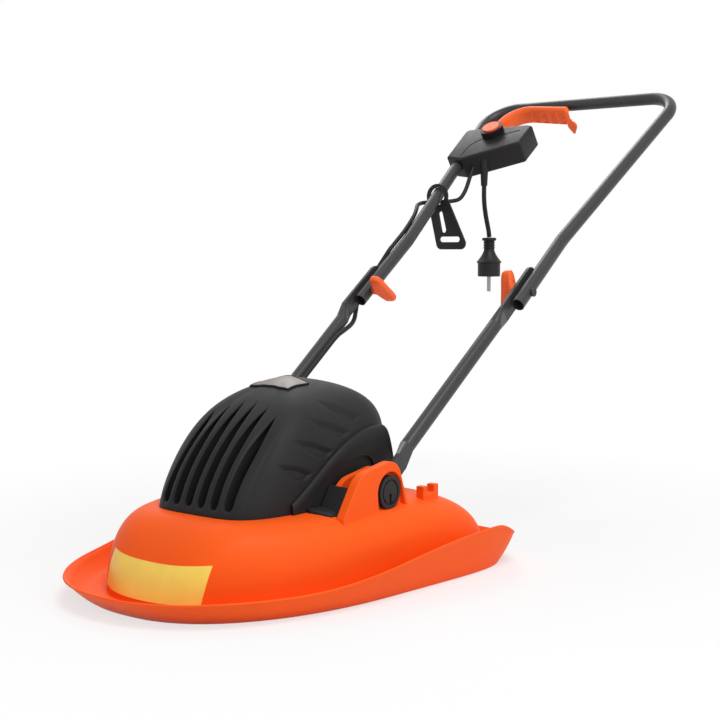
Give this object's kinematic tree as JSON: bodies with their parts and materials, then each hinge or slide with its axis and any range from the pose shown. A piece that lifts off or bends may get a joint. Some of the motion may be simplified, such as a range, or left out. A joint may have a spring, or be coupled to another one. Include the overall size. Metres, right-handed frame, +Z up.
{
  "type": "hover mower",
  "caption": "Electric hover mower: domed fan-lifted deck, louvred motor cover, cutter bar, and a folding tube handle with switch box, bail lever, lead retainer and plug.",
  "frame": {"origin": "on the ground, midway between the deck's nose and the crossbar and on the centre plane", "axes": "+Z up, +Y from the nose of the deck to the crossbar, +X to the side of the arm without the switch box"},
  "size_m": [0.4622, 1.1213, 0.6784],
  "materials": {
    "deck_plastic": "moulded, satin",
    "cover_plastic": "moulded, fine grain",
    "black_plastic": "moulded, satin",
    "orange_plastic": "moulded, satin",
    "tube_paint": "powder coat, satin",
    "zinc_steel": "zinc plated",
    "blade_steel": "ground",
    "lamination": "stacked sheet",
    "cast_alloy": "die cast",
    "winding": "lacquered copper",
    "brush_brass": "pressed",
    "carbon": "pressed carbon",
    "nylon": "natural",
    "fan_plastic": "moulded",
    "lead_rubber": "extruded, satin"
  },
  "bodies": {
    "deck": {"deck_shell": "deck_plastic", "motor_cover": "cover_plastic", "cover_screws": "zinc_steel", "cable_gland": "lead_rubber", "motor_carrier": "cast_alloy", "carrier_screws": "zinc_steel", "motor_frame": "zinc_steel", "stator_core": "lamination", "field_coils": "winding", "end_bracket": "cast_alloy", "brush_holders": "brush_brass", "carbon_brushes": "carbon", "lower_bearing": "zinc_steel", "upper_bearing": "zinc_steel", "pivot_pin_left": "zinc_steel", "pivot_pin_right": "zinc_steel", "pivot_cap_left": "black_plastic", "pivot_cap_right": "black_plastic", "cable_run_entry": "lead_rubber"},
    "rotor": {"motor_shaft": "blade_steel", "rotor_core": "lamination", "commutator": "winding", "fan": "fan_plastic", "blade_spacers": "nylon", "cutter_blade": "blade_steel", "blade_bolt": "zinc_steel"},
    "lower_handle": {"lower_arm_left": "tube_paint", "lower_arm_right": "tube_paint", "cable_run_fold": "lead_rubber", "cable_run_lower": "lead_rubber"},
    "upper_handle": {"upper_tube": "tube_paint", "fold_bolt_left": "zinc_steel", "fold_bolt_right": "zinc_steel", "box_lower": "black_plastic", "box_upper": "black_plastic", "box_screws": "zinc_steel", "button_ring": "black_plastic", "micro_switch": "black_plastic", "bail_pin": "zinc_steel", "cable_run_upper": "lead_rubber", "lead_gland": "lead_rubber", "mains_lead": "lead_rubber", "plug_body": "lead_rubber", "plug_pins": "brush_brass"},
    "bail": {"bail_lever": "orange_plastic"},
    "lock_button": {"lock_button": "orange_plastic"},
    "knob_left": {"wing_knob_left": "orange_plastic"},
    "knob_right": {"wing_knob_right": "orange_plastic"},
    "retainer": {"cable_retainer": "black_plastic"}
  },
  "joints": [
    {"name": "rotor_spin", "type": "hinge", "parent": "deck", "child": "rotor", "pos_m": [0, -0.26057, 0.025], "axis": [0, 0, 1], "continuous": true},
    {"name": "handle_pivot", "type": "hinge", "parent": "deck", "child": "lower_handle", "pos_m": [0, -0.21657, 0.113], "axis": [1, 0, 0], "range_deg": [-20, 54], "deforming": ["cable_run_entry"]},
    {"name": "handle_fold", "type": "hinge", "parent": "lower_handle", "child": "upper_handle", "pos_m": [0, 0.12046, 0.35348], "axis": [1, 0, 0], "range_deg": [0, 140], "deforming": ["cable_run_fold"]},
    {"name": "bail_grip", "type": "hinge", "parent": "upper_handle", "child": "bail", "pos_m": [-0.146, 0.46907, 0.60862], "axis": [0, -0.5906, 0.807], "range_deg": [0, 5.5], "stiffness_Nm_per_rad": 4, "springref_deg": -5.73},
    {"name": "button_press", "type": "slide", "parent": "upper_handle", "child": "lock_button", "axis": [0, 0.5906, -0.807], "range_m": [0, 0.004], "stiffness_N_per_m": 700, "springref_m": -0.003},
    {"name": "knob_left_turn", "type": "hinge", "parent": "upper_handle", "child": "knob_left", "pos_m": [0.115, 0.12046, 0.35348], "axis": [1, 0, 0], "continuous": true},
    {"name": "knob_right_turn", "type": "hinge", "parent": "upper_handle", "child": "knob_right", "pos_m": [-0.12, 0.12046, 0.35348], "axis": [1, 0, 0], "continuous": true},
    {"name": "retainer_swing", "type": "hinge", "parent": "upper_handle", "child": "retainer", "pos_m": [-0.15555, 0.32866, 0.50585], "axis": [-0.1029, 0.8027, 0.5875], "range_deg": [-12, 12]}
  ]
}
